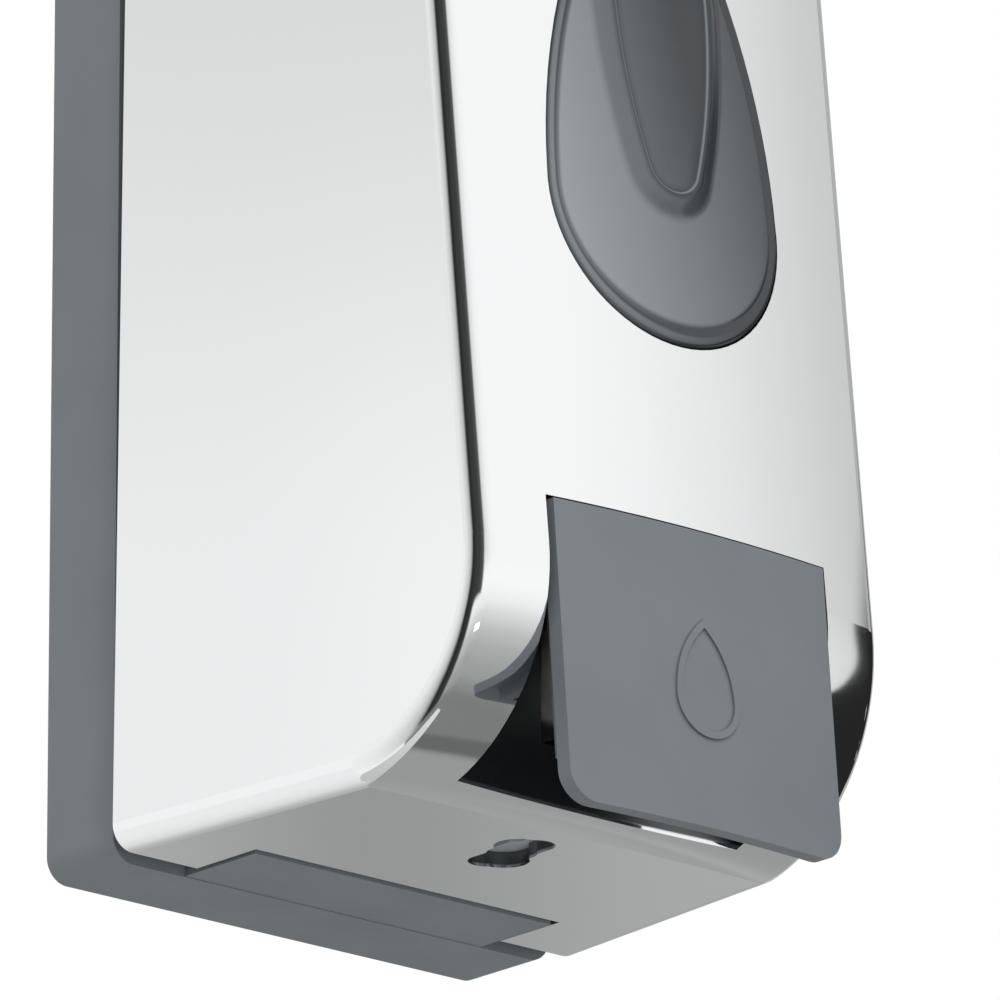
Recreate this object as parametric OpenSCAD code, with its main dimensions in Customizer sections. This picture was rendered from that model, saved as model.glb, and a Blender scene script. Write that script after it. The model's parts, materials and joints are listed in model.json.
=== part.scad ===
// Wall-mounted push-lever soap dispenser. Millimetres, Z up, wall face at Y = 0, front towards -Y.

/* [Back plate] */
// Width of the wall tray
plate_w = 90; // [84:0.5:92]
// Height of the wall tray
plate_h = 208; // [204:1:220]
// Depth of the tray rim from the wall
plate_d = 16.2; // [15:0.1:17]
// Wall of the tray rim and its floor
plate_wall = 2.6; // [2:0.1:3]
// Outer corner radius of the tray
plate_corner_r = 4; // [3:0.5:6]
// Width of the lower tongue
tongue_w = 61; // [50:0.5:64]
// Reach of the tongue past the cover rear edge
tongue_reach = 13; // [11:0.5:14]
// Thickness of the tongue
tongue_t = 2.8; // [2:0.1:3]
// Spacing of the wall screws, across
wall_hole_dx = 52; // [40:1:60]
// Spacing of the wall screws, upright
wall_hole_dz = 120; // [100:1:124]
// Diameter of the wall screw holes
wall_hole_d = 5; // [4:0.1:6]

/* [Cover] */
// Width of the cover at its rear edge
cover_w_rear = 96; // [95:0.5:100]
// Width of the cover at its front corners
cover_w_front = 83; // [80:0.5:90]
// Depth of the cover front from the wall, at half lever height
cover_depth = 100.3; // [99:0.1:103]
// Lean of the front from upright, in degrees
front_lean = 5.9; // [5:0.1:6.5]
// Crown radius of the front, in plan
crown_r = 239; // [200:1:300]
// Radius of the upright front corners
corner_r = 4; // [3:0.5:6]
// Radius of the lower front roll
roll_r = 32; // [26:1:34]
// Radius of the upper front roll
top_roll_r = 30; // [24:1:36]
// Radius along the lower and upper side edges
side_edge_r = 4; // [3:0.5:5]
// Wall of the cover
cover_wall = 2.5; // [2:0.1:2.8]
// Open gap between tray rim and cover
cover_gap = 3.9; // [3.6:0.1:4.4]

/* [Window] */
// Half width of the window opening
win_half_w = 23.8; // [20:0.2:26]
// Height of its widest line above the tray bottom
win_z = 97; // [92:0.2:100]
// Radius of its long side arcs
win_side_r = 107; // [90:1:130]
// Radius of its upper end
win_top_r = 11; // [9:0.5:13]
// Stand of the lens above the cover
win_proud = 1.9; // [1:0.1:2.5]

/* [Lever] */
// Width of the push lever
lever_w = 55.6; // [50:0.2:56]
// Height of the lever top edge
lever_top = 42.6; // [41.8:0.1:42.8]
// Height of the lever lower edge
lever_bottom = -6.1; // [-9:0.1:-3]
// Thickness of the lever blade
lever_t = 2.8; // [2.2:0.1:3]
// Stand of the lever above the cover front at its top
lever_proud = 0.6; // [0.3:0.1:1]
// Extra tilt of the lever away from the front, in degrees
lever_tilt = 0.9; // [0.5:0.1:1.4]
// Radius of the lower lever corners
lever_corner_r = 5; // [3:0.5:8]
// Diameter of the lever pin
lever_pin_d = 3; // [2.6:0.1:3.2]

/* [Well] */
// Width of the lever well
well_w = 57.4; // [57:0.2:60]
// Depth of the well rear wall from the wall face
well_rear = 78.8; // [78:0.1:80]
// Height of the well top
well_top = 43.1; // [43:0.1:44]
// Wall of the well
well_wall = 2.2; // [1.8:0.1:2.4]

/* [Pump] */
// Height of the plunger axis
pump_z = 27; // [26.5:0.1:28]
// Radius of the pump bore
bore_r = 7.5; // [6.5:0.1:7.8]
// Wall of the pump barrel
barrel_wall = 2; // [1.6:0.1:2.2]
// Radius of the plunger rod
rod_r = 3; // [2.5:0.1:3.4]
// Wire diameter of the return spring
spring_wire = 0.8; // [0.6:0.1:1]
// Mean radius of the return spring
spring_r = 5.4; // [5:0.1:5.6]
// Turns of the return spring
spring_turns = 4; // [3:1:4]

/* [Reservoir] */
// Width of the soap tank
tank_w = 72; // [60:1:76]
// Height of the tank floor
tank_z = 58; // [57:0.5:62]
// Height of the tank itself
tank_h = 124; // [100:1:126]
// Wall of the tank
tank_wall = 1.8; // [1.4:0.1:2.4]
// Outer radius of the tank neck
neck_r = 11; // [10:0.1:11.5]

/* [Lock] */
// Distance of the lock axis from the wall face
lock_y = 58.6; // [57:0.2:59]
// Radius of the round middle of the keyhole
key_r = 4; // [3.5:0.1:4.6]
// Length of the keyhole wings, tip to tip
key_len = 17.4; // [13:0.2:17.6]
// Width of the keyhole wings
key_w = 6.4; // [2:0.1:6.8]

/* [Fits] */
// Running clearance on pins, per side
run_fit = 0.08; // [0.05:0.01:0.1]
// Seating clearance between pieces that touch
seat_fit = 0.1; // [0.05:0.01:0.2]
// Free clearance around moving pieces
free_fit = 0.4; // [0.3:0.05:0.6]

/* [Hidden] */
$fn = 96;

// Inner places are given for this cover depth and tray height, and move with them
given_depth = 100.3;
given_h = 208;
front_move = cover_depth - given_depth;
top_move = plate_h - given_h;
// Reach of cuts that run out past both sides
past = 60;

// Cover box derived from the tray
cover_rear_y = -(plate_d + cover_gap);
cover_z0 = 0.4;
cover_z1 = plate_h - 0.4;
ref_z = 50;
blend = 0.05;
lean_s = sin(front_lean);
lean_c = cos(front_lean);

// Place of the side lobes of the keyhole
key_lobe_x = 1.8;
key_lobe_y = 3.8;

// Step of the tongue over the tray bottom, and the open notch round it
tongue_step = 0.12;
notch_side = 0.8;
notch_front = 1.2;

// Hinge axis of the cover
hinge_y = cover_rear_y - 0.4;
hinge_z = cover_z1 - 3.6;
hinge_r = 3;
hinge_pin_r = 1.25;
hinge_head_r = 2.05;
plate_knuckle_x0 = 8.5;
plate_knuckle_x1 = 25.5;
cover_knuckle_in = 8;
cover_knuckle_x0 = 26;
cover_knuckle_x1 = 38;

// Lever pivot
pivot_y = -(cover_depth - 6.8);
pivot_z = 39.5;
ear_r = 3.2;
ear_x = 24;
ear_t = 3;
lever_pin_r = lever_pin_d / 2;
pad_y = -cover_depth;
pad_depth = 1.5;
pad_half = 2.5;

// Rear wall of the well
well_back = -(well_rear + front_move);

// Pump places along the plunger axis
barrel_r = bore_r + barrel_wall;
barrel_front = -86 - front_move;
barrel_back = -50 - front_move;
gland_flange = 1.6;
gland_front = barrel_front - gland_flange - seat_fit;
plug_len = 6;
nozzle_y = -81.6 - front_move;
neck_y = -62 - front_move;
cap_tip = pad_y + 0.3;
cap_len = 2.6;
head_t = 1.2;
head_r = 7;
head_back = cap_tip + cap_len + head_t;
piston_front = -78 - front_move;
piston_back = -71 - front_move;

// Lock axis and heights over the cover floor
lock_place = -(lock_y + front_move);
floor_z = cover_z0 + cover_wall;
lock_flange_r = 9;
lock_flange_t = 1.2;
lock_flange_z = floor_z + 0.1;
keeper_lip_z = lock_flange_z + lock_flange_t + 0.1;
keeper_lip_t = 1;
cam_z = keeper_lip_z + keeper_lip_t + 0.3;
cam_t = 1.8;
lock_spigot_r = 4.6;
keeper_turns = [-50, -130];
hook_r0 = 29.6 + front_move;
hook_r1 = 32.6 + front_move;
hook_lead = 25;
cam_rest = 190;

// Window line in the leaning frame
win_w0 = (win_z - ref_z) / lean_c;
win_top_h = sqrt(pow(win_side_r - win_top_r, 2) - pow(win_side_r - win_half_w, 2));
boss_low = [24.5, -21.5];
boss_high = [19.5, 52];
frame_seat = 6.3;
drop_low_r = 4.6;
drop_high_r = 10;
drop_low_w = 5.6;
drop_high_w = 35.5;

// Tank neck
neck_bore = 8.4;
neck_low = 46.8;
nut_r = 14;
shelf_t = 2.8;
shelf_top = tank_z - seat_fit;
flange_y = -(plate_wall + seat_fit);
flange_t = 2.6;
shelf_screw_x = 6;
shelf_screw_z = [36, 51];
tank_rear = -24.4;
tank_front_in = 13;
fill_y = -48 - front_move / 2;
fill_r = 19 + front_move / 2;
collar_h = 4;
tank_top = tank_z + tank_h + top_move;
panel_z = tank_top - tank_wall;

module placed() {
  translate([0, 0, -plate_h / 2]) children();
}

// Frame of the leaning front, -Y outward and Z along the face
module on_front() {
  translate([0, -cover_depth, ref_z]) rotate([-front_lean, 0, 0]) children();
}

module along_y(y0, y1, r, x = 0, z = 0) {
  translate([x, max(y0, y1), z]) rotate([90, 0, 0]) cylinder(r = r, h = abs(y1 - y0));
}

module along_x(x0, x1, r, y = 0, z = 0) {
  translate([min(x0, x1), y, z]) rotate([0, 90, 0]) cylinder(r = r, h = abs(x1 - x0));
}

module block(x0, x1, y0, y1, z0, z1) {
  translate([x0, y0, z0]) cube([x1 - x0, y1 - y0, z1 - z0]);
}

module both_sides() {
  children();
  mirror([1, 0, 0]) children();
}

// Rounded rectangle about the origin
module soft_rect(w, h, r) {
  square([w - 2 * r, h], center = true);
  square([w, h - 2 * r], center = true);
  for (sx = [-1, 1]) {
    for (sy = [-1, 1]) {
      translate([sx * (w / 2 - r), sy * (h / 2 - r)]) circle(r);
    }
  }
}

// Side profile of the crowned front, inset by d, as radius and height about the crown axis
module drum_profile(d) {
  low_w = (cover_z0 + roll_r - blend - ref_z + roll_r * lean_s) / lean_c;
  high_w = (cover_z1 - top_roll_r + blend - ref_z + top_roll_r * lean_s) / lean_c;
  low_r = crown_r - roll_r;
  high_r = crown_r - top_roll_r;
  rb = roll_r - d;
  rt = top_roll_r - d;
  inner = crown_r - 140;
  translate([low_r, low_w]) circle(rb, $fn = 128);
  translate([high_r, high_w]) circle(rt, $fn = 128);
  polygon([
    [low_r - rb * lean_s, low_w - rb * lean_c],
    [crown_r - d, low_w],
    [crown_r - d, high_w],
    [high_r + rt * lean_s, high_w + rt * lean_c],
    [inner, high_w + rt * lean_c + 40],
    [inner, low_w - rb * lean_c - 20]
  ]);
}

module drum(d) {
  translate([0, crown_r, 0]) rotate_extrude($fn = 360) drum_profile(d);
}

// Plan of the sides and front corners, inset by d
half_f = cover_w_front / 2;
half_r = cover_w_rear / 2;
crown_back = crown_r - sqrt(crown_r * crown_r - half_f * half_f);
plan_rear = cover_depth + cover_rear_y;
taper = atan((half_r - half_f) / (plan_rear - crown_back));

function side_reach(d) = half_f * cos(taper) - crown_back * sin(taper) - d;
function fillet_s(d, r, rr) =
  let (k = side_reach(d) - r)
  rr * cos(taper) - sqrt(pow(rr * cos(taper), 2)
    - (k * k + 2 * k * rr * sin(taper) + rr * rr - pow(rr - r, 2)));

module plan_shape(d) {
  r = max(corner_r - d, 1);
  rr = crown_r - d;
  k = side_reach(d) - r;
  s = fillet_s(d, r, rr);
  shift = d;
  cx = k * cos(taper) + s * sin(taper);
  cy = -k * sin(taper) + s * cos(taper);
  tx = cx * rr / (rr - r);
  ty = rr + (cy - rr) * rr / (rr - r);
  apex = (tx * tx + (ty - rr) * ty) / (ty - rr);
  sx = cx + r * cos(taper);
  sy = cy - r * sin(taper);
  far = 110;
  ex = sx + (far - sy) * tan(taper);
  translate([0, shift - 0.01]) {
    polygon([[0, apex], [tx, ty], [sx, sy], [ex, far], [-ex, far], [-sx, sy], [-tx, ty]]);
    translate([cx, cy]) circle(r, $fn = 64);
    translate([-cx, cy]) circle(r, $fn = 64);
  }
}

module cover_solid(d, z0, z1, y1) {
  intersection() {
    on_front() drum(d);
    on_front() translate([0, 0, -90]) linear_extrude(300) plan_shape(d);
    block(-80, 80, -160, y1, z0, z1);
  }
}

// World plane of the right side: normal and offset
side_n = [cos(taper), -sin(taper) * lean_c, sin(taper) * lean_s];
side_h = side_n[0] * half_f + side_n[1] * (-cover_depth + crown_back * lean_c)
       + side_n[2] * (ref_z - crown_back * lean_s);
function edge_x(y, z, r) = (side_h - r - side_n[1] * y - side_n[2] * z) / side_n[0];

// Waste removed to round the side edge along a front roll, downwards at the foot and upwards at the top
module roll_edge_waste(roll, up) {
  r = corner_r;
  k = side_reach(0) - r;
  s = fillet_s(0, r, crown_r);
  cx = k * cos(taper) + s * sin(taper);
  cy = -k * sin(taper) + s * cos(taper);
  reach = roll - r;
  // The round ends where it meets the crowned front
  arc = 90 - taper - asin(cx / (crown_r - r));
  skirt = 6;
  end_r = reach + r * sin(arc);
  end_h = r * cos(arc);
  w = up > 0 ? (cover_z1 - roll + blend - ref_z + roll * lean_s) / lean_c
             : (cover_z0 + roll - blend - ref_z + roll * lean_s) / lean_c;
  on_front() translate([0, 0, w]) mirror([0, 0, up > 0 ? 1 : 0])
    translate([cx + reach * sin(taper), cy + reach * cos(taper), 0]) rotate([0, 0, -taper])
      rotate([-90, 0, -90]) rotate([0, 0, 0.5]) rotate_extrude(angle = 90 - up * front_lean, $fn = 180)
        difference() {
          polygon([[reach, r + 3], [reach, 0], [end_r, end_h],
                   [end_r + skirt * cos(arc), end_h - skirt * sin(arc)],
                   [reach + r + skirt + 3, end_h - skirt * sin(arc)], [reach + r + skirt + 3, r + 3]]);
          translate([reach, 0]) circle(r, $fn = 64);
        }
}

// Waste removed to roll a lower or upper side edge over
module edge_waste(z, up) {
  r = side_edge_r;
  y0 = cover_rear_y + 5;
  y1 = -130;
  zc = z + up * r;
  x0 = edge_x(y0, zc, r);
  x1 = edge_x(y1, zc, r);
  turn = atan((x0 - x1) / (y0 - y1));
  translate([x0, y0, zc]) rotate([0, 0, -turn]) rotate([90, 0, 0]) linear_extrude(y0 - y1 + 10) {
    difference() {
      translate([0, up > 0 ? -r - 2 : 0]) square([r + 3, r + 2]);
      circle(r, $fn = 64);
    }
  }
}

// Egg outline about its widest line, inset by d
// Its end circles stand out by a hair where they meet the sides
meet = 0.04;
module egg(d) {
  rs = win_side_r - d;
  off = win_side_r - win_half_w;
  tip = rs * win_top_h / (win_side_r - win_top_r);
  circle(win_half_w - d + meet);
  intersection() {
    translate([-off, 0]) circle(rs, $fn = 180);
    translate([off, 0]) circle(rs, $fn = 180);
    translate([-100, 0]) square([200, tip]);
  }
  translate([0, win_top_h]) circle(win_top_r - d + meet);
}

// Drop outline with its narrow end down, inset by d
module drop_outline(d) {
  gap = drop_high_w - drop_low_w;
  side = (gap * gap / (drop_high_r - drop_low_r) + drop_high_r + drop_low_r) / 2;
  off = side - drop_high_r;
  tip = (side - d) * gap / (side - drop_low_r);
  translate([0, drop_high_w]) {
    circle(drop_high_r - d + meet);
    intersection() {
      translate([-off, 0]) circle(side - d, $fn = 180);
      translate([off, 0]) circle(side - d, $fn = 180);
      translate([-50, -tip]) square([100, tip]);
    }
    translate([0, -gap]) circle(drop_low_r - d + meet);
  }
}

// A window outline pushed through the front
module through_front() {
  on_front() translate([0, 14, win_w0]) rotate([90, 0, 0]) linear_extrude(30) children();
}

// The straight part of the crowned front, inset by d
module crown(d) {
  on_front() translate([0, crown_r, -30]) cylinder(r = crown_r - d, h = 170, $fn = 360);
}

// The space between two insets of the crowned front
module front_layer(outer, inner) {
  difference() {
    crown(outer);
    crown(inner);
  }
}

module at_bosses() {
  for (p = [boss_low, boss_high]) {
    both_sides() on_front() translate([p[0], 14, win_w0 + p[1]]) rotate([90, 0, 0]) children();
  }
}

module back_plate() {
  color([0.44, 0.47, 0.49]) placed() {
    difference() {
      union() {
        difference() {
          translate([0, 0, plate_h / 2]) rotate([90, 0, 0])
            linear_extrude(plate_d) soft_rect(plate_w, plate_h, plate_corner_r);
          translate([0, -plate_wall, plate_h / 2]) rotate([90, 0, 0])
            linear_extrude(plate_d) soft_rect(plate_w - 2 * plate_wall, plate_h - 2 * plate_wall,
                                              plate_corner_r - plate_wall / 2);
        }
        // Inner lip, sides and bottom
        both_sides() block(plate_w / 2 - 5.4, plate_w / 2 - 3.6, cover_rear_y - 4, -1, 5, plate_h - 14);
        block(-plate_w / 2 + 5, plate_w / 2 - 5, cover_rear_y - 2, -1, 5, 6.8);
        // Stiffening ribs of the floor
        for (z = [24, 74, 126, 176]) {
          block(-plate_w / 2 + 2, plate_w / 2 - 2, -plate_wall - 2.4, -1, z, z + 1.8);
        }
        both_sides() block(13, 14.8, -plate_wall - 2.4, -1, 5.5, plate_h - 2);
        // Bosses of the wall screws
        for (sx = [-1, 1]) {
          for (sz = [-1, 1]) {
            along_y(-plate_wall - 2.4, -0.5, 6, sx * wall_hole_dx / 2, plate_h / 2 + sz * wall_hole_dz / 2);
          }
        }
        // Tongue and lock catch
        block(-tongue_w / 2, tongue_w / 2, cover_rear_y - tongue_reach, -plate_d + 2,
              tongue_step, tongue_step + tongue_t);
        block(1.6, 8, cover_rear_y - tongue_reach, cover_rear_y - tongue_reach + 2.4,
              cover_z0 + 1, cam_z + cam_t + 1.2);
        block(3.6, 6, cover_rear_y - tongue_reach + 1, -plate_d + 2, cover_z0 + 1, cam_z - 0.6);
        // Hinge knuckles on arms under the upper rim
        both_sides() {
          along_x(plate_knuckle_x0, plate_knuckle_x1, hinge_r, hinge_y, hinge_z);
          block(plate_knuckle_x0, plate_knuckle_x1, hinge_y, -plate_d + 5, hinge_z - 1.6, hinge_z + 1.2);
          block(plate_knuckle_x0, plate_knuckle_x1, -plate_d + 0.2, -plate_d + 5, hinge_z, plate_h - 1);
        }
      }
      // Wall screw holes with flat-bottomed heads
      for (sx = [-1, 1]) {
        for (sz = [-1, 1]) {
          along_y(-20, 5, wall_hole_d / 2, sx * wall_hole_dx / 2, plate_h / 2 + sz * wall_hole_dz / 2);
        }
      }
      along_x(-past, past, hinge_pin_r + run_fit, hinge_y, hinge_z);
      // Pilot holes of the bracket screws
      both_sides() for (z = shelf_screw_z) along_y(-plate_wall - 5, -0.8, 1.6, shelf_screw_x, z);
    }
  }
}

module pump_shelf() {
  half = tank_w / 2 + 2.4;
  color([0.32, 0.34, 0.36]) placed() {
    difference() {
      union() {
        block(-half, half, -80, flange_y, shelf_top - shelf_t, shelf_top);
        block(-34, 34, flange_y - flange_t, flange_y, 30, shelf_top);
        both_sides() {
          translate([33.5, 0, 0]) rotate([90, 0, -90]) linear_extrude(2)
            polygon([[-flange_y, 31], [-flange_y, shelf_top - 1], [76, shelf_top - 1], [76, shelf_top - 6]]);
          block(half - 2, half, -79, -26, shelf_top - 1, shelf_top + 5);
        }
      }
      translate([0, neck_y, 40]) cylinder(r = nut_r + free_fit, h = 30);
      both_sides() for (z = shelf_screw_z) along_y(-20, 5, 1.8, shelf_screw_x, z);
      // Room for the floor ribs of the tray and the wall screws
      both_sides() block(12.4, 15.4, flange_y - 2.6, 5, 20, shelf_top + 1);
      both_sides() along_y(flange_y - 2.8, 5, 7, wall_hole_dx / 2, plate_h / 2 - wall_hole_dz / 2);
    }
  }
}

module shelf_screws() {
  seat = flange_y - flange_t;
  color([0.75, 0.76, 0.77]) placed() both_sides() for (z = shelf_screw_z) translate([shelf_screw_x, 0, z]) {
    difference() {
      union() {
        along_y(seat - 2.2, seat - 0.02, 3.2);
        along_y(seat - 1, -1.2, 1.5);
      }
      block(-2, 2, seat - 3, seat - 1.2, -0.4, 0.4);
      block(-0.4, 0.4, seat - 3, seat - 1.2, -2, 2);
    }
  }
}

// Tank block, inset by d
module tank_block(d) {
  intersection() {
    on_front() translate([0, tank_front_in + 40, -60]) linear_extrude(260)
      soft_rect(tank_w - 2 * d, 80 - 2 * d, 9 - d);
    block(-past, past, -150, tank_rear - d, tank_z + d, tank_top - d);
  }
}

// Open-topped tank with its neck
module reservoir() {
  color([0.86, 0.88, 0.86, 0.8]) placed() {
    difference() {
      union() {
        tank_block(0);
        translate([0, neck_y, neck_low]) cylinder(r = neck_r, h = tank_z - neck_low + 1);
        for (k = [0:2]) {
          translate([0, neck_y, neck_low + 1.6 + k * 2.4]) cylinder(r = neck_r + 0.7, h = 1);
        }
        // Level marks on the front
        for (k = [0:3]) {
          on_front() translate([0, 0, 34 + 24 * k])
            block(-9 + k, 9 - k, tank_front_in - 0.5, tank_front_in + 1, 0, 0.8);
        }
      }
      tank_block(tank_wall);
      block(-past, past, -150, 0, panel_z, tank_top + 10);
      translate([0, neck_y, neck_low - 1]) cylinder(r = neck_bore, h = 20);
    }
  }
}

// Panel welded on the tank, with the filler collar
module reservoir_top() {
  color([0.86, 0.88, 0.86, 0.8]) placed() {
    difference() {
      union() {
        intersection() {
          tank_block(0);
          block(-past, past, -150, 0, panel_z, tank_top + 10);
        }
        translate([0, fill_y, tank_top - 1]) cylinder(r = fill_r, h = collar_h + 1);
      }
      translate([0, fill_y, tank_top - 5]) cylinder(r = fill_r - tank_wall, h = 20);
    }
  }
}

module reservoir_lid() {
  color([0.5, 0.53, 0.55]) placed() translate([0, fill_y, tank_top + collar_h]) {
    difference() {
      union() {
        translate([0, 0, -3.6]) cylinder(r = fill_r + 1.8, h = 3.6 + 0.9);
        translate([0, 0, 0.8]) cylinder(r = fill_r + 1.2, h = 1.2);
        translate([0, -fill_r - 3, -1.4]) cylinder(r = 4, h = 2);
      }
      translate([0, 0, -10]) cylinder(r = fill_r + seat_fit, h = 10);
      translate([0, 0, -10]) cylinder(r = 1.2, h = 30);
      translate([0, 0, 1.4]) cylinder(r = 8, h = 5);
    }
    difference() {
      translate([0, 0, -3]) cylinder(r = fill_r - tank_wall - 1.4, h = 3.2);
      translate([0, 0, -4]) cylinder(r = fill_r - tank_wall - 3, h = 4);
    }
  }
}

module lid_gasket() {
  color([0.15, 0.15, 0.16]) placed() translate([0, fill_y, tank_top + collar_h]) difference() {
    translate([0, 0, -2]) cylinder(r = fill_r - tank_wall - 0.1, h = 1.4);
    translate([0, 0, -3]) cylinder(r = fill_r - tank_wall - 1.3, h = 4);
  }
}

module pump_body() {
  color([0.9, 0.91, 0.9]) placed() {
    difference() {
      union() {
        along_y(barrel_front, barrel_back, barrel_r, 0, pump_z);
        along_y(barrel_back - 3, barrel_back, barrel_r + 1, 0, pump_z);
        // Inlet spigot with its flange
        translate([0, neck_y, pump_z]) cylinder(r = 7.4, h = neck_low - 0.8 - pump_z);
        translate([0, neck_y, neck_low - 3.2]) cylinder(r = neck_r, h = 2.4);
        // Gusset between barrel and spigot
        block(-1.2, 1.2, neck_y - 12, neck_y + 8, pump_z + 5, pump_z + 13);
        // Outlet boss
        translate([0, nozzle_y, pump_z - barrel_r - 0.2]) cylinder(r = 4.2, h = 6);
      }
      along_y(barrel_front - 1, barrel_back - 2.5, bore_r, 0, pump_z);
      translate([0, neck_y, pump_z]) cylinder(r = 5.2, h = 40);
      translate([0, nozzle_y, pump_z - barrel_r - 2]) cylinder(r = 2.6, h = 8);
    }
  }
}

module union_nut() {
  color([0.28, 0.3, 0.31]) placed() translate([0, neck_y, 0]) difference() {
    union() {
      translate([0, 0, neck_low - 6]) cylinder(r = nut_r - 0.8, h = 13.6);
      for (k = [0:17]) {
        rotate([0, 0, k * 20]) translate([nut_r - 1, 0, neck_low - 5]) cylinder(r = 0.9, h = 11.6, $fn = 24);
      }
    }
    translate([0, 0, neck_low - 10]) cylinder(r = 7.4 + 0.3, h = 30);
    translate([0, 0, neck_low - 3.3]) cylinder(r = neck_r + 0.7 + seat_fit, h = 20);
  }
}

module neck_gasket() {
  color([0.15, 0.15, 0.16]) placed() translate([0, neck_y, neck_low - 0.75]) difference() {
    cylinder(r = neck_r - 0.1, h = 0.7);
    translate([0, 0, -1]) cylinder(r = 5.4, h = 3);
  }
}

module inlet_valve() {
  color([0.25, 0.26, 0.28]) placed() translate([0, neck_y, neck_low - 6]) difference() {
    union() {
      cylinder(r = 5.1, h = 1.2);
      cylinder(r = 1.4, h = 4);
    }
    for (k = [0:3]) rotate([0, 0, 90 * k]) translate([3.2, 0, -1]) cylinder(r = 0.8, h = 4, $fn = 32);
  }
}

module gland_cap() {
  color([0.28, 0.3, 0.31]) placed() difference() {
    union() {
      along_y(gland_front, barrel_front - seat_fit, barrel_r, 0, pump_z);
      along_y(barrel_front - 1, barrel_front + plug_len, bore_r - seat_fit, 0, pump_z);
      along_y(gland_front - 1.2, gland_front + 1, 4.4, 0, pump_z);
    }
    along_y(-120, -60, rod_r + run_fit, 0, pump_z);
    along_y(barrel_front + 2, barrel_front + 4, rod_r + 1.5, 0, pump_z);
    // Soap passage to the outlet
    translate([0, nozzle_y, pump_z - barrel_r - 2]) cylinder(r = 2.4, h = 5);
  }
}

module gland_seal() {
  color([0.12, 0.12, 0.13]) placed() translate([0, barrel_front + 3, pump_z]) rotate([90, 0, 0])
    rotate_extrude() translate([rod_r + 0.8, 0]) circle(0.68, $fn = 32);
}

module outlet_nozzle() {
  color([0.83, 0.84, 0.82]) placed() translate([0, nozzle_y, pump_z - barrel_r]) difference() {
    union() {
      translate([0, 0, -0.9]) cylinder(r = 2.5, h = 2.9);
      translate([0, 0, -0.9]) cylinder(r = 3.2, h = 0.6);
    }
    translate([0, 0, 0.2]) cylinder(r = 1.6, h = 8);
    block(-1.8, 1.8, -0.25, 0.25, -3, 1);
  }
}

module hinge_pin() {
  color([0.78, 0.79, 0.8]) placed() {
    along_x(-cover_knuckle_x1 + 1, cover_knuckle_x1 + 0.6, hinge_pin_r, hinge_y, hinge_z);
    along_x(cover_knuckle_x1 + 0.2, cover_knuckle_x1 + 1.2, hinge_head_r, hinge_y, hinge_z);
  }
}

// Keyhole outline, wings front to back, with clearance c
module key_outline(c) {
  circle(key_r + c, $fn = 64);
  square([key_w + 2 * c, key_len - key_w + 2 * c], center = true);
  for (s = [-1, 1]) {
    translate([0, s * (key_len - key_w) / 2]) circle(key_w / 2 + c, $fn = 48);
    // Side lobe shaped for the key
    translate([s * key_lobe_x, s * key_lobe_y]) circle(key_r + c, $fn = 48);
  }
}

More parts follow.
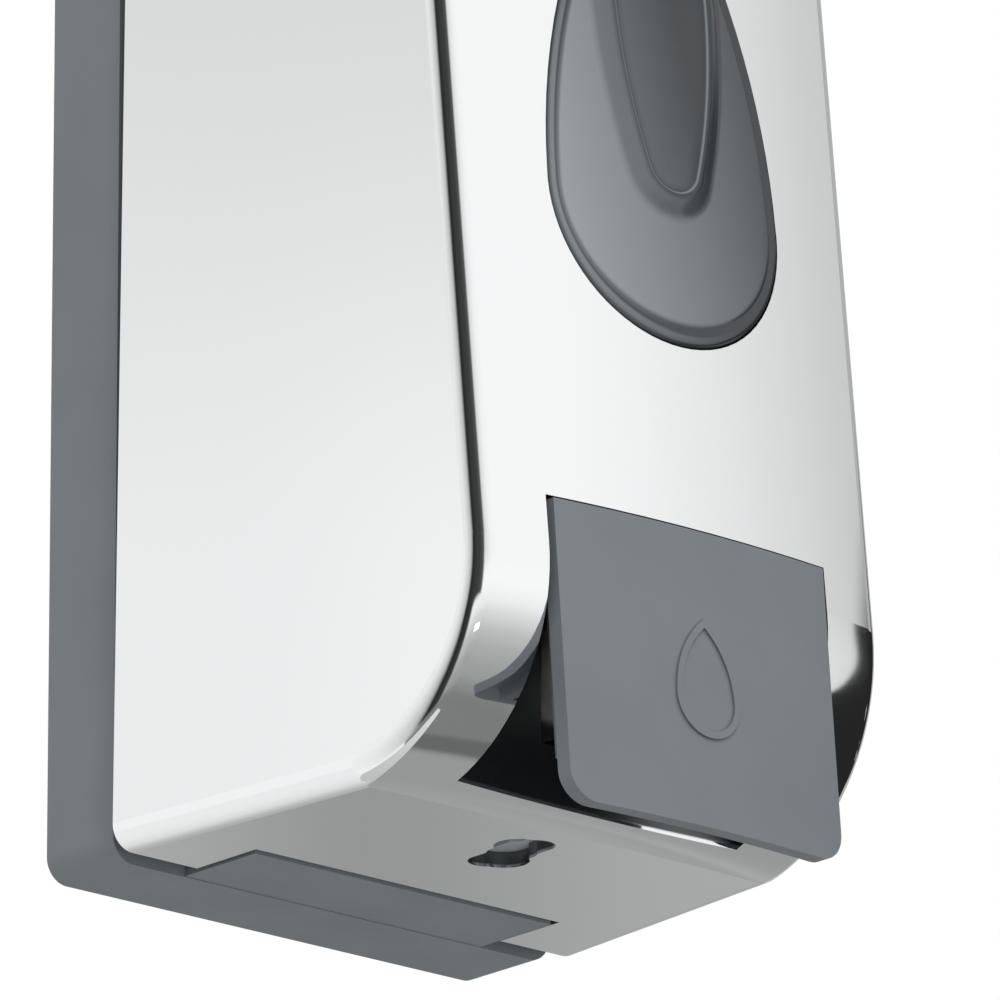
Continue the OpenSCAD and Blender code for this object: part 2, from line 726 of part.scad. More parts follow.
module cover_shell() {
  color([0.88, 0.89, 0.9]) placed() difference() {
    union() {
      difference() {
        cover_solid(0, cover_z0, cover_z1, cover_rear_y);
        cover_solid(cover_wall, cover_z0 + cover_wall, cover_z1 - cover_wall, cover_rear_y + 5);
        both_sides() {
          edge_waste(cover_z0, 1);
          edge_waste(cover_z1, -1);
          roll_edge_waste(roll_r, -1);
          roll_edge_waste(top_roll_r, 1);
        }
      }
      // Lever well and inner bosses, kept inside the skin
      intersection() {
        cover_solid(0.5, cover_z0 + 0.5, cover_z1 - 0.5, cover_rear_y);
        union() {
          both_sides() block(well_w / 2, well_w / 2 + well_wall, -130, well_back + well_wall,
                             cover_z0 - 1, well_top + well_wall);
          block(-well_w / 2 - 1, well_w / 2 + 1, well_back, well_back + well_wall,
                cover_z0 - 1, well_top + well_wall);
          block(-well_w / 2 - 1, well_w / 2 + 1, -130, well_back + well_wall,
                well_top, well_top + well_wall);
        }
      }
      intersection() {
        at_bosses() cylinder(r = 3.4, h = 40);
        front_layer(0.6, 5.2);
      }
      // Hinge knuckles under the upper wall
      for (x = [[-cover_knuckle_x1, -cover_knuckle_x0], [-cover_knuckle_in, cover_knuckle_in],
                [cover_knuckle_x0, cover_knuckle_x1]]) {
        along_x(x[0], x[1], hinge_r, hinge_y, hinge_z);
        block(x[0], x[1], hinge_y - 2.8, hinge_y + 0.4, hinge_z, cover_z1 - 0.6);
      }
      // Posts of the lock keeper
      for (a = keeper_turns) {
        translate([0, lock_place, 0]) rotate([0, 0, a]) translate([15, 0, cover_z0 + 0.8])
          cylinder(r = 2.6, h = cover_wall + 0.2, $fn = 48);
      }
    }
    // Window opening
    through_front() egg(0);
    at_bosses() translate([0, 0, 2]) cylinder(r = 1.2, h = 9.6, $fn = 32);
    // Lever opening
    block(-well_w / 2, well_w / 2, -130, well_back, -10, well_top);
    // Pump aperture in the rear wall of the well
    block(-11.6, 11.6, well_back - 1, well_back + well_wall + 1,
      pump_z - 15.5, pump_z + 11.6);
    // Notch over the tongue
    block(-tongue_w / 2 - notch_side, tongue_w / 2 + notch_side, cover_rear_y - tongue_reach - notch_front, 0,
          -5, cover_z0 + 6);
    // Keyhole
    translate([0, lock_place, -3]) linear_extrude(8) key_outline(0);
    // Pin bores
    along_x(-well_w / 2 - well_wall - 1, well_w / 2 + well_wall + 1, lever_pin_r + 0.02, pivot_y, pivot_z);
    along_x(-cover_knuckle_x1 + 0.8, cover_knuckle_x1 + 0.1, hinge_pin_r + run_fit, hinge_y, hinge_z);
    along_x(cover_knuckle_x1 - 0.1, cover_knuckle_x1 + 1.6, hinge_head_r + free_fit, hinge_y, hinge_z);
    // Room for the tray knuckles
    both_sides() {
      along_x(plate_knuckle_x0 - 0.4, plate_knuckle_x1 + 0.4, hinge_r + 0.6, hinge_y, hinge_z);
      block(plate_knuckle_x0 - 0.4, plate_knuckle_x1 + 0.4, hinge_y - 3.9, 0, hinge_z - 8, plate_h + 4);
    }
    // Pilot holes of the keeper screws
    for (a = keeper_turns) {
      translate([0, lock_place, 0]) rotate([0, 0, a]) translate([15, 0, cover_z0 + 1])
        cylinder(r = 0.9, h = 9, $fn = 32);
    }
  }
}

module sight_window() {
  color([0.4, 0.44, 0.47, 0.75]) placed() difference() {
    union() {
      intersection() {
        through_front() egg(0.25);
        crown(-win_proud / 2);
      }
      intersection() {
        through_front() egg(1.5);
        crown(-win_proud);
      }
      intersection() {
        through_front() egg(-2.8);
        crown(cover_wall + 0.8);
      }
      // Raised ridge of the drop
      intersection() {
        through_front() difference() {
          drop_outline(0);
          drop_outline(1.3);
        }
        crown(-win_proud - 0.7);
      }
    }
    crown(cover_wall + 2.6);
    // Dished middle of the drop
    intersection() {
      through_front() drop_outline(1.3);
      front_layer(-win_proud - 3, -win_proud + 0.9);
    }
  }
}

module window_gasket() {
  color([0.12, 0.12, 0.13]) placed() intersection() {
    through_front() difference() {
      egg(-2.6);
      egg(-0.3);
    }
    front_layer(cover_wall + 0.05, cover_wall + 0.75);
  }
}

module window_frame() {
  color([0.3, 0.32, 0.34]) placed() difference() {
    union() {
      intersection() {
        through_front() difference() {
          egg(-5.4);
          egg(1.6);
        }
        front_layer(cover_wall + 2.7, cover_wall + 4.6);
      }
      intersection() {
        at_bosses() cylinder(r = 3.8, h = 40);
        front_layer(cover_wall + 2.75, cover_wall + 4.6);
      }
    }
    at_bosses() cylinder(r = 1.5, h = 40, $fn = 32);
    at_bosses() cylinder(r = 3, h = frame_seat);
  }
}

module frame_screws() {
  color([0.75, 0.76, 0.77]) placed() at_bosses() {
    difference() {
      translate([0, 0, frame_seat - 2.22]) cylinder(r = 2.5, h = 2.2, $fn = 48);
      translate([-1.6, -0.3, frame_seat - 2.8]) cube([3.2, 0.6, 1.2]);
      translate([-0.3, -1.6, frame_seat - 2.8]) cube([0.6, 3.2, 1.2]);
    }
    translate([0, 0, frame_seat - 1]) cylinder(r = 1.1, h = 5.3, $fn = 32);
  }
}

module lever_pins() {
  color([0.78, 0.79, 0.8]) placed() both_sides()
    along_x(ear_x, well_w / 2 + well_wall + 1.6, lever_pin_r, pivot_y, pivot_z);
}

module pin_clips() {
  color([0.2, 0.2, 0.21]) placed() both_sides() difference() {
    along_x(well_w / 2 + well_wall + 0.1, well_w / 2 + well_wall + 0.9, 2.8, pivot_y, pivot_z);
    along_x(0, past, lever_pin_r + 0.02, pivot_y, pivot_z);
    block(0, past, pivot_y - 0.9, pivot_y + 0.9, pivot_z - 8, pivot_z);
  }
}

module lock_keeper() {
  color([0.32, 0.34, 0.36]) placed() translate([0, lock_place, 0]) difference() {
    union() {
      translate([0, 0, floor_z + 0.02]) cylinder(r = 12.4, h = keeper_lip_z + keeper_lip_t - floor_z - 0.02);
      for (a = keeper_turns) {
        rotate([0, 0, a]) translate([15, 0, floor_z + 1.1]) cylinder(r = 2.8, h = 1.3, $fn = 48);
        rotate([0, 0, a]) block(10, 15, -2.4, 2.4, floor_z + 1.1, floor_z + 2.4);
      }
    }
    translate([0, 0, floor_z - 1]) cylinder(r = lock_flange_r + 0.4, h = keeper_lip_z - floor_z + 1);
    cylinder(r = lock_flange_r - 1.8, h = 40);
    for (a = keeper_turns) {
      rotate([0, 0, a]) translate([15, 0, 0]) cylinder(r = 1.1, h = 20, $fn = 32);
    }
  }
}

module keeper_screws() {
  color([0.75, 0.76, 0.77]) placed() translate([0, lock_place, 0]) for (a = keeper_turns) {
    rotate([0, 0, a]) translate([15, 0, floor_z + 2.42]) {
      difference() {
        cylinder(r = 1.9, h = 1.1, $fn = 48);
        translate([-2.5, -0.25, 0.6]) cube([5, 0.5, 2]);
      }
      translate([0, 0, -2.9]) cylinder(r = 0.85, h = 3.4, $fn = 32);
    }
  }
}

// Crowned blade between two stands over the cover front
module blade_layer(outer, inner) {
  translate([0, pivot_y, pivot_z]) rotate([lever_tilt, 0, 0]) translate([0, -pivot_y, -pivot_z])
    on_front() translate([0, crown_r, -120]) difference() {
      cylinder(r = crown_r + outer, h = 240, $fn = 360);
      translate([0, 0, -1]) cylinder(r = crown_r + inner, h = 242, $fn = 360);
    }
}

module lever_outline() {
  mid = (lever_top + lever_bottom) / 2;
  high = lever_top - lever_bottom;
  translate([0, mid]) soft_rect(lever_w, high, lever_corner_r);
  translate([0, mid + high / 4]) square([lever_w, high / 2], center = true);
}

module push_lever() {
  color([0.47, 0.5, 0.53]) placed() difference() {
    union() {
      intersection() {
        blade_layer(lever_proud, lever_proud - lever_t);
        translate([0, -60, 0]) rotate([90, 0, 0]) linear_extrude(80) lever_outline();
      }
      // Raised drop on the face
      intersection() {
        blade_layer(lever_proud + 0.45, lever_proud - 0.6);
        translate([0, -60, 9]) rotate([90, 0, 0]) linear_extrude(80) difference() {
          lever_drop(0);
          lever_drop(1.1);
        }
      }
      // Ears of the pin
      both_sides() {
        along_x(ear_x, ear_x + ear_t, ear_r, pivot_y, pivot_z);
        block(ear_x, ear_x + ear_t, pivot_y - 6, pivot_y, pivot_z - ear_r, pivot_z + ear_r - 0.6);
      }
      // Stiffening ribs and push pad, kept behind the face
      intersection() {
        blade_layer(lever_proud - 0.6, lever_proud - lever_t - 3);
        union() {
          both_sides() block(13, 14.6, -130, -60, lever_bottom + 6, pivot_z - 5);
          both_sides() block(24, 25.6, -130, -60, lever_bottom + 8, pivot_z - 2);
          block(-25, 25, -130, -60, lever_bottom + 8, lever_bottom + 9.6);
        }
      }
      block(-pad_half, pad_half, pad_y - pad_depth, pad_y, pump_z - pad_half, pump_z + 2);
    }
    along_x(-past, past, lever_pin_r + run_fit, pivot_y, pivot_z);
  }
}

// Drop figure of the lever face
module lever_drop(d) {
  r = 6.4;
  rise = 13;
  side = (rise * rise + r * r) / (2 * r);
  translate([0, 6]) {
    circle(r - d + meet);
    intersection() {
      translate([-side + r, 0]) circle(side - d, $fn = 180);
      translate([side - r, 0]) circle(side - d, $fn = 180);
      translate([-20, 0]) square([40, 30]);
    }
  }
}

module plunger() {
  color([0.9, 0.91, 0.9]) placed() difference() {
    union() {
      along_y(head_back - head_t, piston_back, rod_r, 0, pump_z);
      along_y(head_back - head_t, head_back, head_r, 0, pump_z);
      along_y(piston_front, piston_back, bore_r - 0.5, 0, pump_z);
    }
    translate([0, (piston_front + piston_back) / 2, pump_z]) rotate([90, 0, 0]) rotate_extrude()
      translate([bore_r - 0.9, 0]) square([2.4, 2.4], center = true);
  }
}

module plunger_cap() {
  color([0.2, 0.21, 0.22]) placed() intersection() {
    translate([0, cap_tip + 5, pump_z]) sphere(5);
    along_y(cap_tip - 1, head_back - head_t - 0.05, 6, 0, pump_z);
  }
}

module piston_seal() {
  color([0.12, 0.12, 0.13]) placed() translate([0, (piston_front + piston_back) / 2, pump_z])
    rotate([90, 0, 0]) rotate_extrude() translate([bore_r - 1.06, 0]) circle(0.98, $fn = 40);
}

// Return spring: one tube swept along the coil
spring_y0 = gland_front - spring_wire / 2 - 0.1;
spring_y1 = head_back + spring_wire / 2 + 0.1;
spring_rings = 8;
spring_sides = 6;
function coil_point(t) =
  [spring_r * cos(t * 360), spring_y0 + (spring_y1 - spring_y0) * min(max(t / spring_turns, 0), 1),
   spring_r * sin(t * 360)];
function unit(v) = v / norm(v);
coil_path = concat(
  [coil_point(0) + [0, 0, -spring_wire]],
  [for (k = [0:spring_turns * spring_rings]) coil_point(k / spring_rings)],
  [coil_point(spring_turns) + [0, 0, spring_wire]]);
coil_n = len(coil_path);
coil_points = [for (k = [0:coil_n - 1])
  let (before = coil_path[max(k - 1, 0)],
       after = coil_path[min(k + 1, coil_n - 1)],
       along = unit(after - before),
       across = unit(cross(along, [0, 1, 0])),
       rise = cross(across, along))
  for (j = [0:spring_sides - 1])
    coil_path[k] + spring_wire / 2
      * (across * cos(j * 360 / spring_sides) + rise * sin(j * 360 / spring_sides))];
coil_last = (coil_n - 1) * spring_sides;
coil_faces = concat(
  [for (j = [1:spring_sides - 2]) [0, j, j + 1]],
  [for (k = [0:coil_n - 2])
    for (j = [0:spring_sides - 1])
      let (a = k * spring_sides + j,
           b = k * spring_sides + (j + 1) % spring_sides)
      each [[a, a + spring_sides, b + spring_sides], [a, b + spring_sides, b]]],
  [for (j = [1:spring_sides - 2]) [coil_last, coil_last + j + 1, coil_last + j]]);

// Least gap of the tube to itself, over points at least half a turn apart
coil_gap = min([for (i = [0:coil_n - 1])
  for (j = [i + spring_rings / 2:1:coil_n - 1]) norm(coil_path[j] - coil_path[i])]) - spring_wire;
echo(least_spring_gap = coil_gap);

module return_spring() {
  color([0.7, 0.71, 0.73]) placed() translate([0, 0, pump_z]) polyhedron(coil_points, coil_faces);
}

module lock_core() {
  color([0.5, 0.53, 0.55]) placed() translate([0, lock_place, 0]) difference() {
    union() {
      translate([0, 0, lock_flange_z]) cylinder(r = lock_flange_r, h = lock_flange_t);
      translate([0, 0, lock_flange_z]) cylinder(r = lock_flange_r - 2.1, h = cam_z - 0.05 - lock_flange_z);
      translate([0, 0, lock_flange_z]) cylinder(r = lock_spigot_r, h = cam_z + cam_t - lock_flange_z);
    }
    // Key socket
    translate([0, 0, lock_flange_z - 1]) cylinder(r = 2.6, h = 2.4);
    translate([-1.5, -6, lock_flange_z - 1]) cube([3, 12, 2.2]);
    block(lock_spigot_r - 0.8, 20, -10, 10, cam_z, 30);
  }
}

module lock_cam() {
  color([0.75, 0.76, 0.77]) placed() translate([0, lock_place, cam_z]) difference() {
    union() {
      cylinder(r = 7, h = cam_t);
      rotate([0, 0, cam_rest]) block(0, hook_r1 - 0.5, -2.4, 2.4, 0, cam_t);
      intersection() {
        difference() {
          cylinder(r = hook_r1, h = cam_t);
          translate([0, 0, -1]) cylinder(r = hook_r0, h = cam_t + 2);
        }
        linear_extrude(cam_t) polygon([[0, 0],
          [50 * cos(cam_rest + 4), 50 * sin(cam_rest + 4)],
          [50 * cos(cam_rest - hook_lead), 50 * sin(cam_rest - hook_lead)]]);
      }
    }
    difference() {
      translate([0, 0, -1]) cylinder(r = lock_spigot_r + 0.05, h = cam_t + 2);
      block(lock_spigot_r - 0.75, 20, -10, 10, -2, 30);
    }
  }
}

module cam_clip() {
  color([0.2, 0.2, 0.21]) placed() translate([0, lock_place, cam_z + cam_t + 0.02]) difference() {
    cylinder(r = 4.2, h = 0.4);
    translate([0, 0, -1]) cylinder(r = 1.4, h = 3, $fn = 32);
  }
}

back_plate();
pump_shelf();
shelf_screws();
reservoir();
reservoir_top();
reservoir_lid();
lid_gasket();
pump_body();
union_nut();
neck_gasket();
inlet_valve();
gland_cap();
gland_seal();
outlet_nozzle();
hinge_pin();
cover_shell();
sight_window();
window_gasket();
window_frame();
frame_screws();
lever_pins();
pin_clips();
lock_keeper();
keeper_screws();
push_lever();
plunger();
plunger_cap();
piston_seal();
return_spring();
lock_core();
lock_cam();
cam_clip();
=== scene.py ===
"""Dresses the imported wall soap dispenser: camera, studio, finishes and fine pieces."""
import json
import math

import bmesh
import bpy
from mathutils import Matrix, Vector

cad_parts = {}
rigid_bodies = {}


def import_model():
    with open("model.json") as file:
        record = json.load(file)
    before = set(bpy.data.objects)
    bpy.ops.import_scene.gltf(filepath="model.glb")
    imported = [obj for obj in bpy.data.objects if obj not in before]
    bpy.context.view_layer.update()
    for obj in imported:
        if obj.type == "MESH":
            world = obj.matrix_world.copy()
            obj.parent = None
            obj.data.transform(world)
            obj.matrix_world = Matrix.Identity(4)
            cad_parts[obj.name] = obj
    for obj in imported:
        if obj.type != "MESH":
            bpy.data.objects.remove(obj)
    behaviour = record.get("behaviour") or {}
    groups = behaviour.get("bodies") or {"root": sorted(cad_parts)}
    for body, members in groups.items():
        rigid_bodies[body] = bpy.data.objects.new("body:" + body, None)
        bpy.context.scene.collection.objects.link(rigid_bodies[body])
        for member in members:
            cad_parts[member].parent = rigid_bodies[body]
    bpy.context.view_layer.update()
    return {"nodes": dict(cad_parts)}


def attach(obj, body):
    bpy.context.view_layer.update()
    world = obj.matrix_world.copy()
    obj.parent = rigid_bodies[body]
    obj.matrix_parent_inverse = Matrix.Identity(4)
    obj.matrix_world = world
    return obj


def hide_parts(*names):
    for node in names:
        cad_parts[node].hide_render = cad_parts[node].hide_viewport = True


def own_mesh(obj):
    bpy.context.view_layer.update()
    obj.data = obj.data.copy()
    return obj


for leftover in list(bpy.data.objects):
    bpy.data.objects.remove(leftover)
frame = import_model()
nodes = frame["nodes"]
scene = bpy.context.scene
MM = 0.001
WHITE = (1, 1, 1, 1)


# Small helpers

def add(tree, kind, inputs=None, **settings):
    """Adds a node, sets its properties, and fills or links its inputs."""
    node = tree.nodes.new(kind)
    for name, value in settings.items():
        setattr(node, name, value)
    for name, value in (inputs or {}).items():
        if isinstance(value, bpy.types.NodeSocket):
            tree.links.new(value, node.inputs[name])
        else:
            node.inputs[name].default_value = value
    return node


def colour(code):
    """Turns an sRGB hex code into linear RGBA."""
    parts = [int(code[i:i + 2], 16) / 255 for i in (1, 3, 5)]
    return [p / 12.92 if p <= 0.04045 else ((p + 0.055) / 1.055) ** 2.4 for p in parts] + [1]


def per(size_mm):
    """Texture scale at which one feature is about this long."""
    return 1 / (size_mm * MM)


# Camera, fitted to the photograph: place in metres, gaze and upward direction, lens and film in mm

EYE = Vector((-1.4705, -1.7380, -0.7530))
GAZE = Vector((0.6275, 0.7178, 0.3019))
TOP = Vector((-0.1987, -0.2273, 0.9534))
FOCAL_LENGTH = 540
FILM_WIDTH = 36


def place_camera():
    """A long lens from the lower left, as in the photograph."""
    optics = bpy.data.cameras.new("camera")
    optics.lens = FOCAL_LENGTH
    optics.sensor_width = FILM_WIDTH
    camera = bpy.data.objects.new("camera", optics)
    scene.collection.objects.link(camera)
    back = -GAZE.normalized()
    side = TOP.cross(back).normalized()
    up = back.cross(side)
    turn = Matrix((side, up, back)).transposed().to_4x4()
    camera.matrix_world = Matrix.Translation(EYE) @ turn
    scene.camera = camera


# Studio: angles in degrees, and levels where 1 is white

# An angle past all others, for a side without a limit
EVERYWHERE = 400
# Turn at which the upper edge of the right flag starts to curve down, and how fast it does
FLAG_CORNER = math.radians(-25.9)
FLAG_BEND = 16.0
FLAG_SLOPE = 0.3
# Share of its level that the studio gives to matt surfaces
MATT_SHARE = 0.75
SOFTBOX_SIZE = 1.6
FLOOR_HALF = 1.2
FLOOR_HEIGHT = -2.4


def band(tree, angle, low, high, soft):
    """1 between two angles in degrees, fading over the soft angle on both sides."""
    edge = math.radians(soft)
    rise = add(tree, "ShaderNodeMapRange", {
        "Value": angle, "From Min": math.radians(low) - edge, "From Max": math.radians(low) + edge,
    }, interpolation_type="SMOOTHSTEP")
    fall = add(tree, "ShaderNodeMapRange", {
        "Value": angle, "From Min": math.radians(high) - edge, "From Max": math.radians(high) + edge,
        "To Min": rise.outputs["Result"], "To Max": 0,
    }, interpolation_type="SMOOTHSTEP")
    return fall.outputs["Result"]


def graded(tree, angle, stops):
    """Level that runs smoothly through stops of an angle in degrees and the level there."""
    brightest = max(level for degrees, level in stops)
    first = stops[0][0]
    reach = stops[-1][0] - first
    share = add(tree, "ShaderNodeMapRange", {
        "Value": angle, "From Min": math.radians(first), "From Max": math.radians(first + reach)})
    ramp = add(tree, "ShaderNodeValToRGB", {"Fac": share.outputs["Result"]})
    ramp.color_ramp.interpolation = "CARDINAL"
    marks = ramp.color_ramp.elements
    while len(marks) < len(stops):
        marks.new(0.5)
    for mark, (degrees, level) in zip(marks, stops):
        mark.position = (degrees - first) / reach
        mark.color = [level / brightest] * 3 + [1]
    level = add(tree, "ShaderNodeMath", {0: ramp.outputs["Color"], 1: brightest}, operation="MULTIPLY")
    return level.outputs[0]


def mirror_angles(tree):
    """Turn of a direction from +X and from -X, its rise, and its rise over the edge of the right flag."""
    where = add(tree, "ShaderNodeTexCoord")
    split = add(tree, "ShaderNodeSeparateXYZ", {"Vector": where.outputs["Generated"]})
    x, y, z = (split.outputs[axis] for axis in "XYZ")
    flip_x = add(tree, "ShaderNodeMath", {0: x, 1: -1.0}, operation="MULTIPLY").outputs[0]
    flip_y = add(tree, "ShaderNodeMath", {0: y, 1: -1.0}, operation="MULTIPLY").outputs[0]
    # Two turns, so that no band meets the seam of its own angle
    turn = add(tree, "ShaderNodeMath", {0: y, 1: x}, operation="ARCTAN2").outputs[0]
    back_turn = add(tree, "ShaderNodeMath", {0: flip_y, 1: flip_x}, operation="ARCTAN2").outputs[0]
    rise = add(tree, "ShaderNodeMath", {0: z}, operation="ARCSINE").outputs[0]
    past = add(tree, "ShaderNodeMath", {0: FLAG_CORNER, 1: turn}, operation="SUBTRACT").outputs[0]
    past = add(tree, "ShaderNodeMath", {0: past, 1: 0.0}, operation="MAXIMUM").outputs[0]
    steep = add(tree, "ShaderNodeMath", {0: past, 1: FLAG_BEND, 2: FLAG_SLOPE}, operation="MULTIPLY_ADD")
    slant = add(tree, "ShaderNodeMath", {0: past, 1: steep.outputs[0], 2: rise}, operation="MULTIPLY_ADD")
    return turn, back_turn, rise, slant.outputs[0]


def studio_level(tree):
    """Brightness of the tent in each direction, layer over layer."""
    turn, back_turn, rise, slant = mirror_angles(tree)
    low_front = graded(tree, rise, (
        (-58, 0.22), (-49, 0.24), (-43, 0.35), (-35, 0.40), (-26, 0.50), (-17, 0.64), (-8, 0.90),
        (4, 1.06)))
    high_front = graded(tree, turn, (
        (-116, 0.78), (-104, 0.90), (-90, 1.0), (-64, 1.04), (-56, 1.03), (-48, 0.97), (-38, 0.85),
        (-31, 0.75), (-26, 0.66), (-20, 0.57), (-12, 0.47)))
    # The close stops are thin lines where the sheets of the panel meet
    right_rear = graded(tree, turn, (
        (40, 0.36), (44, 0.38), (47, 0.40), (48.2, 0.43), (49.1, 0.34), (49.65, 0.34), (49.85, 0.385),
        (50.05, 0.42), (50.4, 0.46), (62, 0.56), (80, 0.76), (103, 0.86), (127, 0.93), (138.9, 0.94),
        (139.25, 0.945), (139.42, 0.912), (139.55, 0.93), (139.75, 0.965), (140.1, 0.985), (140.4, 1.0)))
    left_side = graded(tree, back_turn, (
        (-38, 0.98), (-30, 0.94), (-20, 0.85), (-10, 0.73), (0, 0.58), (8, 0.36)))
    left_flag = graded(tree, back_turn, ((10, 0.02), (28, 0.045), (46, 0.06), (62, 0.12)))
    # Each layer: its level, then each angle with its two limits and its soft edge
    layers = [
        # Panel high in front, and its right part, which hangs lower
        (high_front, (turn, -118, 41, 4), (rise, 12, EVERYWHERE, 8)),
        (high_front, (turn, -41, 41, 3), (rise, -14, EVERYWHERE, 4)),
        # Panel from the right round to the rear, and the one on the left
        (right_rear, (turn, 41, EVERYWHERE, 1.5)),
        (left_side, (back_turn, -36, 14, 2), (rise, -55, EVERYWHERE, 6)),
        # Grey cloth high at the left rear
        (0.78, (turn, 125, 150, 8), (rise, 19.2, 70, 1.4)),
        # Grey and dark cloths low on the right
        (0.35, (turn, 12, 41, 5), (rise, -70, -35, 5)),
        (0.15, (turn, -8, 9, 4), (rise, -66, -40, 4)),
        # Black flag at the right front, whose upper edge curves, and two narrow ones beside it
        (0.02, (turn, -42, -13, 2), (rise, -44, EVERYWHERE, 1.5), (slant, -EVERYWHERE, 24.2, 0.5)),
        (0.02, (turn, -6.6, 14, 0.6), (rise, -6, 4, 0.5)),
        (0.02, (turn, -15, 14, 0.6), (rise, 3, 21, 0.5)),
        # Black flag at the left front, narrower below
        (left_flag, (back_turn, 9, 62, 5), (rise, -1, 36, 2.5)),
        (left_flag, (back_turn, 9, 34, 5), (rise, -48, 6, 5)),
        # Small bare lamp, which makes the glint on the roll
        (3.0, (turn, -116, -103, 1), (rise, -19.5, -16.5, 0.6)),
    ]
    level = low_front
    for value, *limits in layers:
        share = 1.0
        for angle, low, high, soft in limits:
            within = band(tree, angle, low, high, soft)
            share = add(tree, "ShaderNodeMath", {0: within, 1: share}, operation="MULTIPLY").outputs[0]
        mix = add(tree, "ShaderNodeMix", {"Factor": share, "A": level, "B": value}, data_type="FLOAT")
        level = mix.outputs["Result"]
    return level


def studio_world():
    """Graded panels and dark flags in reflections, softer light on matt surfaces, white to the camera."""
    world = bpy.data.worlds.new("studio")
    world.use_nodes = True
    tree = world.node_tree
    tree.nodes.clear()
    level = studio_level(tree)
    path = add(tree, "ShaderNodeLightPath")
    mirrored = add(tree, "ShaderNodeMath", {
        0: path.outputs["Is Glossy Ray"], 1: path.outputs["Is Transmission Ray"]}, operation="MAXIMUM")
    spread = add(tree, "ShaderNodeMath", {0: level, 1: MATT_SHARE}, operation="MULTIPLY")
    lit = add(tree, "ShaderNodeMix", {
        "Factor": mirrored.outputs[0], "A": spread.outputs[0], "B": level}, data_type="FLOAT")
    shown = add(tree, "ShaderNodeMix", {
        "Factor": path.outputs["Is Camera Ray"], "A": lit.outputs["Result"], "B": 1.0}, data_type="FLOAT")
    glow = add(tree, "ShaderNodeBackground", {"Color": WHITE, "Strength": shown.outputs["Result"]})
    add(tree, "ShaderNodeOutputWorld", {"Surface": glow.outputs[0]})
    scene.world = world


def soft_lamp(name, place, power):
    """A square softbox aimed at the object, which lights matt surfaces and stays out of reflections."""
    lamp = bpy.data.lights.new(name, "AREA")
    lamp.size = SOFTBOX_SIZE
    lamp.energy = power
    box = bpy.data.objects.new(name, lamp)
    box.location = place
    box.rotation_euler = (-Vector(place)).to_track_quat("-Z", "Y").to_euler()
    box.visible_glossy = False
    scene.collection.objects.link(box)


def pale_floor():
    """A plain pale floor well below the camera, white where the camera sees it."""
    ways = ((-1, -1), (1, -1), (1, 1), (-1, 1))
    corners = [(x * FLOOR_HALF, y * FLOOR_HALF, FLOOR_HEIGHT) for x, y in ways]
    mesh = bpy.data.meshes.new("floor")
    mesh.from_pydata(corners, [], [(0, 1, 2, 3)])
    floor = bpy.data.objects.new("floor", mesh)
    scene.collection.objects.link(floor)
    material = bpy.data.materials.new("pale_floor_paint")
    material.use_nodes = True
    tree = material.node_tree
    tree.nodes.clear()
    path = add(tree, "ShaderNodeLightPath")
    paint = add(tree, "ShaderNodeBsdfDiffuse", {"Color": colour("#E9E9E7")})
    white = add(tree, "ShaderNodeEmission", {"Color": WHITE, "Strength": 1.0})
    shown = add(tree, "ShaderNodeMixShader", {
        0: path.outputs["Is Camera Ray"], 1: paint.outputs[0], 2: white.outputs[0]})
    add(tree, "ShaderNodeOutputMaterial", {"Surface": shown.outputs[0]})
    mesh.materials.append(material)


# Cover sizes in mm, as the part's source has them

COVER_DEPTH = 100.3
FRONT_LEAN = math.radians(5.9)
LEAN_HEIGHT = -54.0
CROWN_R = 239.0
COVER_WALL = 2.5
COVER_HALF_FRONT = 41.5
COVER_HALF_REAR = 48.0
COVER_REAR = 20.1
COVER_HALF_HEIGHT = 103.6
LOW_ROLL_R = 32.0
HIGH_ROLL_R = 30.0
SIDE_EDGE_R = 4.0
CORNER_BACK = CROWN_R - math.sqrt(CROWN_R ** 2 - COVER_HALF_FRONT ** 2)
SIDE_TAPER = (COVER_HALF_REAR - COVER_HALF_FRONT) / (COVER_DEPTH - CORNER_BACK - COVER_REAR)


# Finishes: sizes and depths in mm

CLOUD_DETAIL = 3.0
# Range that the clouds mostly keep to
CLOUD_LOW = 0.3
CLOUD_HIGH = 0.7
BUMP_DETAIL = 1.5
# Clouds and waves that the melt leaves in a moulding: size, then size, depth and strength
FLOW_CLOUD = 18
FLOW_WAVES = (9, 0.02, 0.2)
# Depth below the skin at which the bright plating ends and the painted shade is full: inside the well the
# chrome is painted darker and duller, in place of shade and dark reflections
BRIGHT_DEPTH = 0.3
WELL_SHADE_DEPTH = 0.6
WELL_ROUGHNESS = 0.34


def new_finish(name):
    """An empty material with Object coordinates, a shader and its output."""
    material = bpy.data.materials.new(name)
    material.use_nodes = True
    tree = material.node_tree
    tree.nodes.clear()
    place = add(tree, "ShaderNodeTexCoord").outputs["Object"]
    shader = add(tree, "ShaderNodeBsdfPrincipled")
    add(tree, "ShaderNodeOutputMaterial", {"Surface": shader.outputs["BSDF"]})
    return material, tree, place, shader


def mottle(tree, place, shader, size_mm, tones, gloss):
    """Slow change of colour and gloss over the surface."""
    cloud = add(tree, "ShaderNodeTexNoise", {
        "Vector": place, "Scale": per(size_mm), "Detail": CLOUD_DETAIL})
    tint = add(tree, "ShaderNodeMix", {
        "Factor": cloud.outputs["Fac"], "A": colour(tones[0]), "B": colour(tones[1])}, data_type="RGBA")
    dull = add(tree, "ShaderNodeMapRange", {
        "Value": cloud.outputs["Fac"], "From Min": CLOUD_LOW, "From Max": CLOUD_HIGH,
        "To Min": gloss[0], "To Max": gloss[1]})
    tree.links.new(tint.outputs["Result"], shader.inputs["Base Color"])
    tree.links.new(dull.outputs["Result"], shader.inputs["Roughness"])
    return tint.outputs["Result"], dull.outputs["Result"]


